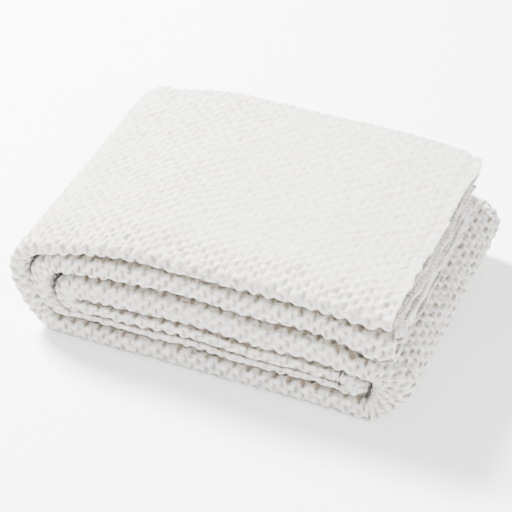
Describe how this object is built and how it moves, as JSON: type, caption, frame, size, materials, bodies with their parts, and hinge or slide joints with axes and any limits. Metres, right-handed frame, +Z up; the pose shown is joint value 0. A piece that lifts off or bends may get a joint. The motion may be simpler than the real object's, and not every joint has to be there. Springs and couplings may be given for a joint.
{
  "type": "folded throw blanket",
  "caption": "Off-white cellular-weave cotton throw, folded into a thick strip and letter-folded into a pack; the top fold and the top leaf lift open.",
  "frame": {"origin": "on the surface the pack rests on, under the middle of its bounding box", "axes": "+X along the leaves from the closed left turn to the free ends, +Y from the front folds to the rear folds, +Z up"},
  "size_m": [0.302, 0.217, 0.0975],
  "materials": {
    "cloth": "matt off-white cotton in a puffy half-drop cellular weave",
    "hem": "matt off-white cotton, plain ribbed hem with one row of stitching"
  },
  "bodies": {
    "stack": {"bottom_leaf": "cloth", "fifth_leaf": "cloth", "fourth_leaf": "cloth", "third_leaf": "cloth", "outer_left_turn": "cloth", "inner_left_turn": "cloth", "outer_right_turn": "cloth", "left_core_fold": "cloth", "right_core_fold": "cloth"},
    "top_fold": {"second_leaf": "cloth", "second_hem": "hem", "top_leaf_root": "cloth"},
    "top_flap": {"top_leaf": "cloth", "top_hem": "hem"}
  },
  "joints": [
    {"name": "top_fold_opening", "type": "hinge", "parent": "stack", "child": "top_fold", "pos_m": [-0.12, 0, 0.0838], "axis": [0, -1, 0], "range_deg": [0, 100]},
    {"name": "top_flap_opening", "type": "hinge", "parent": "top_fold", "child": "top_flap", "pos_m": [-0.09, 0, 0.09181], "axis": [0, -1, 0], "range_deg": [0, 70]}
  ]
}
